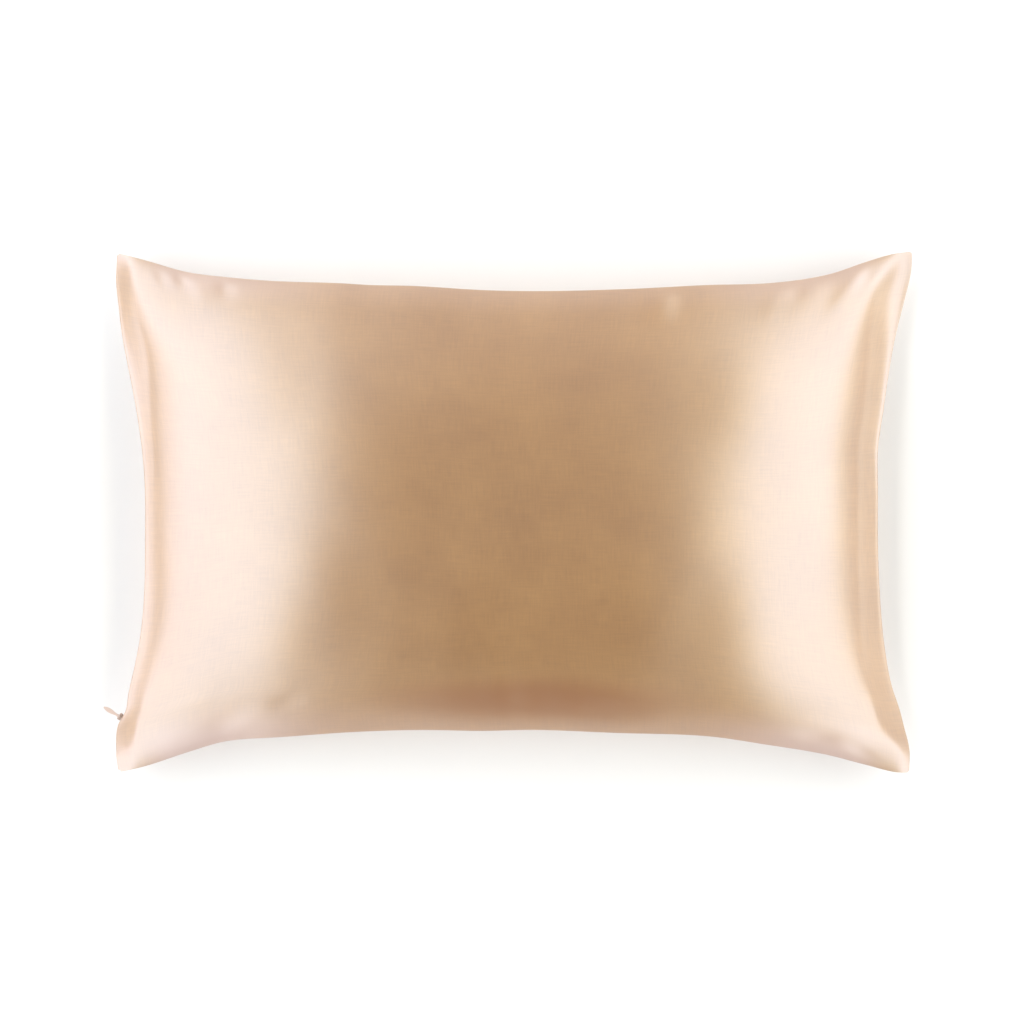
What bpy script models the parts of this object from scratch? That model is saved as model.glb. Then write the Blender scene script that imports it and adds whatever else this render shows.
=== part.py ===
"""A bed pillowcase of silk satin, filled and lying on its back, with the slider and pull of its zip.

Units are metres and +Z is up. +X runs along the case's long side, +Y across it, and the front faces up.
The origin is the middle of the flat patch on which the filled case rests. Tables are in millimetres.
"""

import math
from collections import namedtuple

import bmesh
import bpy
from mathutils import Matrix, Vector

MM = 0.001

# The case as it is cut and sewn, laid flat and empty.
FLAT_LENGTH = 0.762
FLAT_WIDTH = 0.508

# What the filling takes up between the corners, once the pillow is in.
TAKEN_UP_LONG = 0.0164
TAKEN_UP_WIDE = 0.0208
FILLED_LENGTH = FLAT_LENGTH - TAKEN_UP_LONG
FILLED_WIDTH = FLAT_WIDTH - TAKEN_UP_WIDE

SEAM_HEIGHT = 0.057  # of the pillow's edge at the middle of the case, above what it rests on
SEAM_THICKNESS = 0.0016  # two turned layers of satin, pressed together
CROWN = 0.075  # how far the filling lifts the front panel's middle off the seam
BACK_CROWN = 0.084  # and how far it would push the back panel down, if nothing pressed on it
REST_EASE = 0.006  # how softly the back panel meets the flat patch that it rests on
REST_CURL = 0.010  # how far it curls up past the patch's rim
REST_CURL_REACH = 0.070

# The dome of each panel, from the pillow's edge to the middle of the case.
SPREAD = 2.8  # higher is flatter on top
EDGE_SOFTNESS = 0.18  # 0 would lift the panel straight up at the pillow's edge
CREASE_SOFTNESS = 0.02  # 0 would leave a sharp crease at the pillow's edge on either end

FOLD_FADE = 0.013  # folds start this far in from the seam

# Panels are grids with closer lines towards the seam.
LINES_ALONG = 56
LINES_ACROSS = 38
CROWDING = 0.62  # 0 spaces the lines evenly, and 1 lets the outermost two touch

# The flat patch ends on the lines this many from the middle one, so it is drawn in as the seams are.
REST_LINES_ALONG = 9
REST_LINES_ACROSS = 7

# How far the filling draws each side in, against the rectangle that the four corners reach.
# The way runs from the bottom corner up, or from the left corner to the right.
Station = namedtuple("Station", "way amount")
LEFT_SIDE = (
    Station(0.00, 1.8),
    Station(0.06, -2.0),
    Station(0.09, 0.0),
    Station(0.12, 9.0),
    Station(0.15, 11.1),
    Station(0.20, 17.2),
    Station(0.26, 23.2),
    Station(0.34, 27.4),
    Station(0.45, 28.7),
    Station(0.54, 28.7),
    Station(0.62, 25.7),
    Station(0.70, 19.5),
    Station(0.77, 12.1),
    Station(0.83, 5.5),
    Station(0.89, 1.4),
    Station(0.95, -2.0),
    Station(1.00, 0.0),
)
RIGHT_SIDE = (
    Station(0.00, 1.7),
    Station(0.05, 1.2),
    Station(0.11, 7.1),
    Station(0.17, 17.0),
    Station(0.25, 24.2),
    Station(0.34, 28.5),
    Station(0.44, 30.7),
    Station(0.54, 30.8),
    Station(0.62, 30.8),
    Station(0.70, 24.8),
    Station(0.78, 18.4),
    Station(0.85, 11.2),
    Station(0.91, 3.5),
    Station(0.96, -2.1),
    Station(1.00, -2.0),
)
BOTTOM_SIDE = (
    Station(0.00, -1.0),
    Station(0.04, 6.6),
    Station(0.09, 19.1),
    Station(0.14, 29.7),
    Station(0.21, 33.7),
    Station(0.30, 38.6),
    Station(0.38, 40.6),
    Station(0.46, 39.8),
    Station(0.53, 40.7),
    Station(0.63, 37.8),
    Station(0.74, 34.8),
    Station(0.82, 26.2),
    Station(0.89, 17.4),
    Station(0.94, 7.8),
    Station(0.98, 0.1),
    Station(1.00, -0.9),
)
TOP_SIDE = (
    Station(0.00, -0.1),
    Station(0.04, 8.3),
    Station(0.09, 19.0),
    Station(0.14, 24.0),
    Station(0.20, 28.0),
    Station(0.28, 30.2),
    Station(0.32, 32.1),
    Station(0.38, 33.2),
    Station(0.46, 37.0),
    Station(0.54, 37.9),
    Station(0.64, 35.9),
    Station(0.74, 31.9),
    Station(0.82, 29.7),
    Station(0.89, 21.8),
    Station(0.94, 9.3),
    Station(0.975, 1.4),
    Station(1.00, -1.5),
)

# Cloth past the pillow's edge at either end, by the way from the bottom corner up: its width, the slope at
# which it sets off down to the seam, how fast it levels out (1 is not at all) and how soft its crease is.
End = namedtuple("End", "way flange slope turn soft")
LEFT_END = (
    End(0.00, 12.0, 0.35, 1.2, 4.0),
    End(0.03, 17.0, 0.60, 1.2, 4.0),
    End(0.05, 20.0, 1.00, 1.1, 3.0),
    End(0.085, 22.0, 1.14, 1.1, 2.5),
    End(0.11, 17.5, 1.00, 1.15, 2.5),
    End(0.18, 17.0, 0.92, 1.25, 2.5),
    End(0.30, 16.0, 0.90, 1.25, 2.5),
    End(0.52, 12.5, 0.86, 1.15, 2.5),
    End(0.66, 14.5, 0.90, 1.2, 4.5),
    End(0.76, 21.0, 0.94, 1.25, 7.0),
    End(0.82, 24.0, 0.98, 1.15, 9.0),
    End(0.88, 20.0, 1.02, 1.05, 8.0),
    End(0.94, 17.5, 1.22, 1.15, 5.0),
    End(0.97, 16.0, 1.10, 1.15, 4.0),
    End(1.00, 12.0, 0.45, 1.2, 4.0),
)
RIGHT_END = (
    End(0.00, 6.0, 0.40, 1.0, 2.5),
    End(0.035, 8.0, 0.75, 1.0, 2.5),
    End(0.055, 13.0, 1.00, 1.0, 2.0),
    End(0.085, 26.0, 1.12, 1.1, 2.0),
    End(0.14, 27.0, 1.16, 1.15, 2.5),
    End(0.21, 27.0, 1.14, 1.15, 5.0),
    End(0.30, 25.0, 1.12, 1.1, 7.5),
    End(0.52, 23.5, 1.08, 1.08, 8.0),
    End(0.66, 23.5, 1.14, 1.2, 9.0),
    End(0.77, 25.0, 1.30, 1.3, 11.0),
    End(0.84, 28.0, 1.38, 1.5, 11.0),
    End(0.92, 31.0, 1.34, 2.0, 10.0),
    End(0.96, 26.0, 1.18, 1.95, 8.0),
    End(1.00, 14.0, 0.35, 1.6, 4.0),
)

# Each corner's empty tip sags below the seam's middle height, and is turned a little blunt.
Corner = namedtuple("Corner", "right top sag blunt")
CORNERS = (
    Corner(0, 0, 22.0, 2.6),
    Corner(1, 0, 20.0, 0.9),
    Corner(0, 1, 24.0, 2.0),
    Corner(1, 1, 27.0, 0.9),
)
SAG_SPREAD = 2.2  # how closely the sag keeps to the corners

# Soft swells and hollows of the filling. Height is positive for a swell.
Swell = namedtuple("Swell", "x y radius height")
SWELLS = (
    Swell(-165, 30, 150, 2.6),
    Swell(190, -40, 150, 2.2),
    Swell(35, -110, 105, -2.4),
    Swell(-272, -122, 100, 4.0),
    Swell(-275, 128, 95, 3.8),
    Swell(252, 118, 95, 2.0),
    Swell(250, -138, 105, 3.2),
    Swell(-20, 135, 100, 1.6),
    Swell(-212, -84, 92, 3.0),
    Swell(232, 92, 92, 1.8),
    Swell(250, -84, 90, 2.0),
)

# Folds of the satin. The heading is in degrees from +X, and the height is negative for a trough.
Fold = namedtuple("Fold", "x y heading length width height")
FRONT_FOLDS = (
    Fold(329, 217, 234, 46, 17, -0.8),
    Fold(312, 205, 233, 80, 22, 0.7),
    Fold(290, 196, 238, 78, 22, -0.3),
    Fold(264, 205, 244, 36, 20, -0.5),
    Fold(240, 190, 250, 60, 26, 0.3),
    Fold(-329, 219, 300, 34, 14, -0.5),
    Fold(-311, 219, 300, 36, 16, -0.8),
    Fold(-269, 208, 290, 36, 22, -0.9),
    Fold(-292, 204, 296, 44, 22, 0.5),
    Fold(282, -209, 172, 60, 20, -0.7),
    Fold(325, -224, 155, 44, 16, -0.6),
    Fold(-262, -190, 30, 70, 26, -0.5),
    Fold(-210, -176, 20, 50, 24, -0.5),
    Fold(22, -178, 98, 70, 58, -1.0),
    Fold(92, -184, 352, 84, 28, -1.2),
    Fold(-12, -160, 96, 110, 44, 0.9),
    Fold(-42, 194, 100, 44, 32, -1.0),
    Fold(136, 193, 78, 56, 36, 1.7),
)
BACK_FOLDS = (
    Fold(330, 205, 228, 90, 20, -2.6),
    Fold(306, 212, 238, 62, 18, 2.0),
    Fold(-328, 208, 312, 90, 20, -2.6),
    Fold(-300, 212, 300, 58, 18, 2.0),
    Fold(-330, -206, 48, 96, 20, -2.8),
    Fold(-304, -212, 60, 60, 18, 2.0),
    Fold(328, -208, 133, 90, 20, -2.6),
    Fold(302, -212, 121, 58, 18, 2.0),
    Fold(-120, 186, 88, 70, 32, -2.0),
    Fold(60, 184, 94, 70, 34, -2.2),
    Fold(180, -184, 86, 66, 32, -2.0),
    Fold(-70, -182, 93, 72, 34, -2.2),
)

# The slider lies in the step of the left seam, a little above the bottom corner, with the zip closed.
SLIDER_UP = 0.053  # above the bottom corner
SLIDER_LENGTH = 0.0070
SLIDER_WIDTH = 0.0034
SLIDER_THICKNESS = 0.0026
SLIDER_ROUNDING = 0.0009
BAIL_RADIUS = 0.00125  # of the wire's middle line
BAIL_WIRE = 0.00040  # the wire's own radius
CLEARANCE = 0.0003

# The pull is a flat leaf with an eye at its near end, pointing out of the case and up its side.
PULL_HEADING = math.radians(149)
PULL_THICKNESS = 0.0008
PULL_EYE_RADIUS = 0.00080
PULL_REACH = 0.0166  # from the eye's middle to the far tip
PULL_LIFT = 0.5 * SLIDER_THICKNESS + CLEARANCE + 0.5 * PULL_THICKNESS  # the bail's middle is as high

# Half widths of the pull, by how far they are from the eye's middle.
Breadth = namedtuple("Breadth", "along half")
PULL_OUTLINE = (
    Breadth(0.0, 1.45),
    Breadth(2.2, 1.05),
    Breadth(5.0, 1.35),
    Breadth(9.0, 2.00),
    Breadth(12.5, 1.85),
    Breadth(15.4, 0.95),
)


def clear_scene():
    for leftover in list(bpy.data.objects):
        bpy.data.objects.remove(leftover, do_unlink=True)


def collection_of_parts():
    parts = bpy.data.collections.new("Pillowcase")
    bpy.context.scene.collection.children.link(parts)
    return parts


def material(name, colour, roughness, metallic):
    made = bpy.data.materials.new(name)
    made.use_nodes = True
    shader = made.node_tree.nodes["Principled BSDF"]
    shader.inputs["Base Color"].default_value = (*colour, 1.0)
    shader.inputs["Roughness"].default_value = roughness
    shader.inputs["Metallic"].default_value = metallic
    return made


def ease(share):
    """A soft step from 0 to 1."""
    held = min(max(share, 0.0), 1.0)
    return held * held * (3.0 - 2.0 * held)


def bump(share):
    """A soft hump that is 1 at 0 and falls to 0 at 1 on either side."""
    if abs(share) >= 1.0:
        return 0.0
    return math.cos(0.5 * math.pi * share) ** 2


def read(table, way, name="amount"):
    """Reads one column of a table along a smooth curve through its rows."""
    after = next(i for i in range(1, len(table)) if way <= table[i].way or i == len(table) - 1)

    def value(i):
        return getattr(table[i], name)

    def slope(i):
        low, high = max(i - 1, 0), min(i + 1, len(table) - 1)
        return (value(high) - value(low)) / (table[high].way - table[low].way)

    span = table[after].way - table[after - 1].way
    t = (way - table[after - 1].way) / span
    return (
        (2 * t**3 - 3 * t**2 + 1) * value(after - 1)
        + (t**3 - 2 * t**2 + t) * span * slope(after - 1)
        + (3 * t**2 - 2 * t**3) * value(after)
        + (t**3 - t**2) * span * slope(after)
    )


def corner_value(along, across, name):
    """A corner's own figure, shared out between the four corners by how near each of them is."""
    total = 0.0
    for corner in CORNERS:
        near_x = along if corner.right else 1.0 - along
        near_y = across if corner.top else 1.0 - across
        total += near_x * near_y * getattr(corner, name)
    return total * MM


def spot(along, across):
    """Where the point of a panel lies in plan, from its shares of the way along and across."""
    x = FILLED_LENGTH * (along - 0.5)
    x += read(LEFT_SIDE, across) * MM * (1.0 - along)
    x -= read(RIGHT_SIDE, across) * MM * along
    y = FILLED_WIDTH * (across - 0.5)
    y += read(BOTTOM_SIDE, along) * MM * (1.0 - across)
    y -= read(TOP_SIDE, along) * MM * across
    at_corner = along in (0.0, 1.0) and across in (0.0, 1.0)
    if at_corner:
        blunt = corner_value(along, across, "blunt")
        x -= math.copysign(blunt, x)
        y -= math.copysign(blunt, y)
    return x, y


def from_middle(share, low_flange=0.0, high_flange=0.0):
    """How far out a share is: 0 at the pillow's middle, 1 at its edge, and more on the cloth past that."""
    return abs(2.0 * (share - low_flange) / (1.0 - low_flange - high_flange) - 1.0)


def dome(lift):
    """Share of the crown at a lift of 0 to 1, leaving the pillow's edge at a slope."""
    soft = math.sqrt(EDGE_SOFTNESS)
    return (math.sqrt(lift + EDGE_SOFTNESS) - soft) / (math.sqrt(1.0 + EDGE_SOFTNESS) - soft)


def front_share(along, across):
    """Share of the front's crown, which ends at the pillow's edge."""
    flanges = [read(end, across, "flange") * MM / FILLED_LENGTH for end in (LEFT_END, RIGHT_END)]
    lift = 1.0 - from_middle(along, *flanges) ** SPREAD
    lift = 0.5 * (lift + math.hypot(lift, CREASE_SOFTNESS))
    return dome(lift * (1.0 - from_middle(across) ** SPREAD))


def back_share(along, across):
    """Share of the back's crown, which ends at the seam."""
    return dome((1.0 - from_middle(along) ** SPREAD) * (1.0 - from_middle(across) ** SPREAD))


def hang(end, from_seam, across):
    """How far the cloth hangs down past the pillow's edge, at a distance in from the seam."""
    flange, slope, turn, soft = (read(end, across, name) for name in ("flange", "slope", "turn", "soft"))
    past_edge = flange - from_seam / MM
    past_edge = min(0.5 * (past_edge + math.hypot(past_edge, soft)), flange)
    return MM * slope * flange / turn * (1.0 - (1.0 - past_edge / flange) ** turn)


def droop(along, across):
    """How far the sheet between the panels hangs below its own middle, at either end."""
    left = hang(LEFT_END, along * FILLED_LENGTH, across)
    return left + hang(RIGHT_END, (1.0 - along) * FILLED_LENGTH, across)


def seam_level(along, across):
    """Height of the sheet between the panels, which is the seam's own height at the rim."""
    to_corner = (abs(2.0 * along - 1.0) * abs(2.0 * across - 1.0)) ** SAG_SPREAD
    return SEAM_HEIGHT - corner_value(along, across, "sag") * to_corner - droop(along, across)


def swell_height(x, y):
    return sum(s.height * bump(math.hypot(x / MM - s.x, y / MM - s.y) / s.radius) for s in SWELLS) * MM


def fold_height(folds, x, y):
    total = 0.0
    for fold in folds:
        heading = math.radians(fold.heading)
        dx, dy = x / MM - fold.x, y / MM - fold.y
        along_fold = dx * math.cos(heading) + dy * math.sin(heading)
        across_fold = dy * math.cos(heading) - dx * math.sin(heading)
        total += fold.height * bump(2.0 * along_fold / fold.length) * bump(2.0 * across_fold / fold.width)
    return total * MM


def inside_seam(along, across):
    """0 at the seam and 1 where the folds have their full height."""
    to_end = min(along, 1.0 - along) * FILLED_LENGTH
    to_side = min(across, 1.0 - across) * FILLED_WIDTH
    return ease(min(to_end, to_side) / FOLD_FADE)


def rest_reach(rest_lines, lines):
    """How far the flat patch reaches from the middle, as a share."""
    return 0.5 - crowded(0.5 - rest_lines / lines)


def curl(along, across):
    """How far the back panel is held off what it rests on: 0 over the flat patch, and more past it."""
    past_end = max(abs(along - 0.5) - rest_reach(REST_LINES_ALONG, LINES_ALONG), 0.0) * FILLED_LENGTH
    past_side = max(abs(across - 0.5) - rest_reach(REST_LINES_ACROSS, LINES_ACROSS), 0.0) * FILLED_WIDTH
    return REST_CURL * ease(math.hypot(past_end, past_side) / REST_CURL_REACH)


def rest_softly(height):
    """Keeps a height above 0, exactly 0 where the case is pressed flat, and soft around it."""
    if height <= -REST_EASE:
        return 0.0
    if height >= REST_EASE:
        return height
    return (height + REST_EASE) ** 2 / (4.0 * REST_EASE)


def front_point(along, across):
    x, y = spot(along, across)
    share = front_share(along, across)
    rise = (CROWN + swell_height(x, y)) * share
    rise += fold_height(FRONT_FOLDS, x, y) * inside_seam(along, across)
    return Vector((x, y, seam_level(along, across) + 0.5 * SEAM_THICKNESS + rise))


def back_point(along, across):
    x, y = spot(along, across)
    fall = BACK_CROWN * back_share(along, across)
    fall += fold_height(BACK_FOLDS, x, y) * inside_seam(along, across)
    held = curl(along, across)
    height = seam_level(along, across) - 0.5 * SEAM_THICKNESS - fall
    return Vector((x, y, held + rest_softly(height - held)))


def crowded(share):
    """Moves an even share towards the nearer end, so that lines stand closer there."""
    return share - CROWDING * math.sin(2.0 * math.pi * share) / (2.0 * math.pi)


def line_at(number, lines):
    """The share at which a grid line lies, exactly 0 and 1 for the outermost two."""
    if number in (0, lines):
        return float(number == lines)
    return crowded(number / lines)


def panel(bm, place):
    """Adds one panel as a grid with its points put in place, and returns its rim's edges."""
    grid = bmesh.ops.create_grid(bm, x_segments=LINES_ALONG, y_segments=LINES_ACROSS, size=0.5)
    for vert in grid["verts"]:
        along = line_at(round((vert.co.x + 0.5) * LINES_ALONG), LINES_ALONG)
        across = line_at(round((vert.co.y + 0.5) * LINES_ACROSS), LINES_ACROSS)
        vert.co = place(along, across)
    edges = {edge for vert in grid["verts"] for edge in vert.link_edges}
    return [edge for edge in edges if edge.is_boundary]


def filled_case(parts):
    """The front and back panels, sewn together all round and filled, as one solid."""
    bm = bmesh.new()
    rims = panel(bm, front_point) + panel(bm, back_point)
    bmesh.ops.bridge_loops(bm, edges=rims)
    bmesh.ops.recalc_face_normals(bm, faces=bm.faces)
    mesh = bpy.data.meshes.new("filled_case")
    bm.to_mesh(mesh)
    bm.free()
    mesh.shade_smooth()
    mesh.set_sharp_from_angle(angle=math.radians(60))
    mesh.materials.append(material("silk satin", (0.60, 0.39, 0.235), 0.38, 0.0))
    case = bpy.data.objects.new("filled_case", mesh)
    parts.objects.link(case)
    return case


def slider_seat():
    """The straight stretch of the left seam at the zip's closed end: its middle and its direction."""
    wanted = SLIDER_UP / FILLED_WIDTH
    row = next(n for n in range(LINES_ACROSS) if line_at(n + 1, LINES_ACROSS) > wanted)
    ends = []
    for number in (row, row + 1):
        across = line_at(number, LINES_ACROSS)
        x, y = spot(0.0, across)
        ends.append(Vector((x, y, seam_level(0.0, across))))
    return (ends[0] + ends[1]) / 2.0, (ends[1] - ends[0]).normalized()


def slider_frame():
    """The slider's middle, clear of the seam, and how far its own axes are turned from the case's."""
    middle, up_seam = slider_seat()
    out = Vector((-up_seam.y, up_seam.x, 0.0)).normalized()
    middle = middle + out * (CLEARANCE + 0.5 * SLIDER_WIDTH)
    turned = math.atan2(-out.x, out.y)
    return middle, turned


def joined(base, tool):
    """Welds tool into base with a union, and drops tool."""
    union = base.modifiers.new("union", "BOOLEAN")
    union.operation = "UNION"
    union.object = tool
    depsgraph = bpy.context.evaluated_depsgraph_get()
    mesh = bpy.data.meshes.new_from_object(base.evaluated_get(depsgraph))
    base.modifiers.clear()
    base.data = mesh
    bpy.data.objects.remove(tool, do_unlink=True)
    return base


def zip_slider(parts):
    """A small rounded block with a wire bail on top, standing across the seam so that it holds the pull."""
    middle, turned = slider_frame()
    bpy.ops.mesh.primitive_cube_add(size=1.0)
    slider = bpy.context.active_object
    slider.name = "zip_slider"
    slider.data.transform(Matrix.Diagonal((SLIDER_LENGTH, SLIDER_WIDTH, SLIDER_THICKNESS, 1.0)))
    rounding = slider.modifiers.new("rounded edges", "BEVEL")
    rounding.width = SLIDER_ROUNDING
    rounding.segments = 3
    slider.location = middle
    slider.rotation_euler = (0.0, 0.0, turned)

    bpy.ops.mesh.primitive_torus_add(
        major_radius=BAIL_RADIUS,
        minor_radius=BAIL_WIRE,
        major_segments=32,
        minor_segments=10,
        location=middle + Vector((0.0, 0.0, PULL_LIFT)),
        rotation=(math.pi / 2.0, 0.0, PULL_HEADING),
    )
    bail = bpy.context.active_object
    bpy.context.view_layer.update()
    slider = joined(slider, bail)
    slider.data.materials.clear()
    slider.data.materials.append(material("enamelled zip slider", (0.74, 0.60, 0.52), 0.35, 0.3))
    slider.data.shade_smooth()
    slider.data.set_sharp_from_angle(angle=math.radians(40))
    for holder in list(slider.users_collection):
        holder.objects.unlink(slider)
    parts.objects.link(slider)
    return slider


def leaf_points():
    """The pull's outline round its eye, from the near end along one edge to the tip and back."""
    near_end = -PULL_OUTLINE[0].half * MM
    upper = [Vector((row.along * MM, row.half * MM, 0.0)) for row in PULL_OUTLINE]
    lower = [Vector((point.x, -point.y, 0.0)) for point in reversed(upper)]
    return [Vector((near_end, 0.0, 0.0)), *upper, Vector((PULL_REACH, 0.0, 0.0)), *lower]


def add_loop(curve, points):
    """Adds a closed smooth loop through the points to a 2D curve."""
    spline = curve.splines.new("BEZIER")
    spline.bezier_points.add(len(points) - 1)
    for knot, point in zip(spline.bezier_points, points):
        knot.co = point
        knot.handle_left_type = "AUTO"
        knot.handle_right_type = "AUTO"
    spline.use_cyclic_u = True


def zip_pull(parts):
    """A flat leaf-shaped tab whose eye goes round the outer leg of the slider's bail."""
    leaf = bpy.data.curves.new("zip_pull", "CURVE")
    leaf.dimensions = "2D"
    leaf.fill_mode = "BOTH"
    leaf.extrude = 0.5 * PULL_THICKNESS
    leaf.resolution_u = 5
    add_loop(leaf, leaf_points())
    quarter_turns = [0.5 * math.pi * turn for turn in range(4)]
    add_loop(leaf, [PULL_EYE_RADIUS * Vector((math.cos(a), math.sin(a), 0.0)) for a in quarter_turns])
    leaf.materials.append(material("enamelled zip pull", (0.80, 0.68, 0.62), 0.32, 0.2))

    middle, _ = slider_frame()
    out = Vector((math.cos(PULL_HEADING), math.sin(PULL_HEADING), 0.0))
    pull = bpy.data.objects.new("zip_pull", leaf)
    pull.location = middle + out * BAIL_RADIUS + Vector((0.0, 0.0, PULL_LIFT))
    pull.rotation_euler = (0.0, 0.0, PULL_HEADING)
    parts.objects.link(pull)
    return pull


def main():
    clear_scene()
    parts = collection_of_parts()
    filled_case(parts)
    zip_slider(parts)
    zip_pull(parts)


main()
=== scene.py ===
"""Looks of a silk satin pillowcase, filled by its pillow and lying face up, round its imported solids.

Metres, +Z up. +X runs along the case's long side and +Y across it. Tables of the case are in millimetres.
"""

import math
from collections import namedtuple

import bmesh
import bpy
import numpy as np
from bpy.props import FloatProperty, IntProperty, PointerProperty, StringProperty
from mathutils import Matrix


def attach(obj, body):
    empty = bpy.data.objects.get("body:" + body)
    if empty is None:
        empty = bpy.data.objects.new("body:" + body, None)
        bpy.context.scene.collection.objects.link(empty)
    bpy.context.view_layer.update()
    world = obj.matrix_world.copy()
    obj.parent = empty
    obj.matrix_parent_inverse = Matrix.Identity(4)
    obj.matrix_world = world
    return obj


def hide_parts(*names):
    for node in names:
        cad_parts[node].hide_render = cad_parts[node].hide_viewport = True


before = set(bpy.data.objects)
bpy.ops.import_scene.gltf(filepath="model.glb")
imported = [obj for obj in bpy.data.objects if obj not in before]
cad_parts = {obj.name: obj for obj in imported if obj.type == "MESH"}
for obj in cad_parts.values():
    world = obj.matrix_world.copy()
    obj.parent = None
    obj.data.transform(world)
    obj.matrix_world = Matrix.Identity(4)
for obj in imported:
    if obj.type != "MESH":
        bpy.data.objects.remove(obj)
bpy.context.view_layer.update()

bl_info = {
    "name": "Silk Satin Pillowcase",
    "version": (1, 0, 0),
    "blender": (4, 5, 0),
    "location": "3D View > Sidebar > Pillowcase",
    "description": "Sews a filled satin pillowcase with its zip's pull, and lights it on a pale floor",
    "category": "Object",
}

MM = 0.001

# The case as it is cut and sewn, laid flat and empty, and what the filling takes up between its corners.
FLAT_LENGTH = 0.762
FLAT_WIDTH = 0.508
TAKEN_UP_LONG = 0.0164
TAKEN_UP_WIDE = 0.0208

# Height of the front panel's blank over the sewn edge's. The back panel's blank lies as far below it.
BLANK_LAYER = 0.5

# Silk floats lie about 0.14 mm apart. That is too fine to show, so they are drawn ten times coarser.
REAL_THREAD_SPACING = 0.14 * MM
DRAWN_COARSER = 10

# How far the filling draws each side in, against the rectangle that the four corners reach.
# The way runs from the bottom corner up, or from the left corner to the right.
Station = namedtuple("Station", "way amount")
LEFT_SIDE = (
    Station(0.00, 1.8),
    Station(0.06, -2.0),
    Station(0.09, 0.0),
    Station(0.12, 9.0),
    Station(0.15, 11.1),
    Station(0.20, 17.2),
    Station(0.26, 23.2),
    Station(0.34, 27.4),
    Station(0.45, 28.7),
    Station(0.54, 28.7),
    Station(0.62, 25.7),
    Station(0.70, 19.5),
    Station(0.77, 12.1),
    Station(0.83, 5.5),
    Station(0.89, 1.4),
    Station(0.95, -2.0),
    Station(1.00, 0.0),
)
RIGHT_SIDE = (
    Station(0.00, 1.7),
    Station(0.05, 1.2),
    Station(0.11, 7.1),
    Station(0.17, 17.0),
    Station(0.25, 24.2),
    Station(0.34, 28.5),
    Station(0.44, 30.7),
    Station(0.54, 30.8),
    Station(0.62, 30.8),
    Station(0.70, 24.8),
    Station(0.78, 18.4),
    Station(0.85, 11.2),
    Station(0.91, 3.5),
    Station(0.96, -2.1),
    Station(1.00, -2.0),
)
BOTTOM_SIDE = (
    Station(0.00, -1.0),
    Station(0.04, 6.6),
    Station(0.09, 19.1),
    Station(0.14, 29.7),
    Station(0.21, 33.7),
    Station(0.30, 38.6),
    Station(0.38, 40.6),
    Station(0.46, 39.8),
    Station(0.53, 40.7),
    Station(0.63, 37.8),
    Station(0.74, 34.8),
    Station(0.82, 26.2),
    Station(0.89, 17.4),
    Station(0.94, 7.8),
    Station(0.98, 0.1),
    Station(1.00, -0.9),
)
TOP_SIDE = (
    Station(0.00, -0.1),
    Station(0.04, 8.3),
    Station(0.09, 19.0),
    Station(0.14, 24.0),
    Station(0.20, 28.0),
    Station(0.28, 30.2),
    Station(0.32, 32.1),
    Station(0.38, 33.2),
    Station(0.46, 37.0),
    Station(0.54, 37.9),
    Station(0.64, 35.9),
    Station(0.74, 31.9),
    Station(0.82, 29.7),
    Station(0.89, 21.8),
    Station(0.94, 9.3),
    Station(0.975, 1.4),
    Station(1.00, -1.5),
)

# Cloth past the pillow's edge at either end, by the way from the bottom corner up: its width, the slope at
# which it sets off down to the seam, how fast it levels out (1 is not at all) and how soft its crease is.
End = namedtuple("End", "way flange slope turn soft")
LEFT_END = (
    End(0.00, 12.0, 0.35, 1.2, 4.0),
    End(0.03, 17.0, 0.60, 1.2, 4.0),
    End(0.05, 20.0, 1.00, 1.1, 3.0),
    End(0.085, 22.0, 1.14, 1.1, 2.5),
    End(0.11, 17.5, 1.00, 1.15, 2.5),
    End(0.18, 17.0, 0.92, 1.25, 2.5),
    End(0.30, 16.0, 0.90, 1.25, 2.5),
    End(0.52, 12.5, 0.86, 1.15, 2.5),
    End(0.66, 14.5, 0.90, 1.2, 4.5),
    End(0.76, 21.0, 0.94, 1.25, 7.0),
    End(0.82, 24.0, 0.98, 1.15, 9.0),
    End(0.88, 20.0, 1.02, 1.05, 8.0),
    End(0.94, 17.5, 1.22, 1.15, 5.0),
    End(0.97, 16.0, 1.10, 1.15, 4.0),
    End(1.00, 12.0, 0.45, 1.2, 4.0),
)
RIGHT_END = (
    End(0.00, 6.0, 0.40, 1.0, 2.5),
    End(0.035, 8.0, 0.75, 1.0, 2.5),
    End(0.055, 13.0, 1.00, 1.0, 2.0),
    End(0.085, 26.0, 1.12, 1.1, 2.0),
    End(0.14, 27.0, 1.16, 1.15, 2.5),
    End(0.21, 27.0, 1.14, 1.15, 5.0),
    End(0.30, 25.0, 1.12, 1.1, 7.5),
    End(0.52, 23.5, 1.08, 1.08, 8.0),
    End(0.66, 23.5, 1.14, 1.2, 9.0),
    End(0.77, 25.0, 1.30, 1.3, 11.0),
    End(0.84, 28.0, 1.38, 1.5, 11.0),
    End(0.92, 31.0, 1.34, 2.0, 10.0),
    End(0.96, 26.0, 1.18, 1.95, 8.0),
    End(1.00, 14.0, 0.35, 1.6, 4.0),
)

# Each corner's empty tip sags below the seam's middle height, and is turned a little blunt.
Corner = namedtuple("Corner", "right top sag blunt")
CORNERS = (
    Corner(0, 0, 22.0, 2.6),
    Corner(1, 0, 20.0, 0.9),
    Corner(0, 1, 24.0, 2.0),
    Corner(1, 1, 27.0, 0.9),
)

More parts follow.
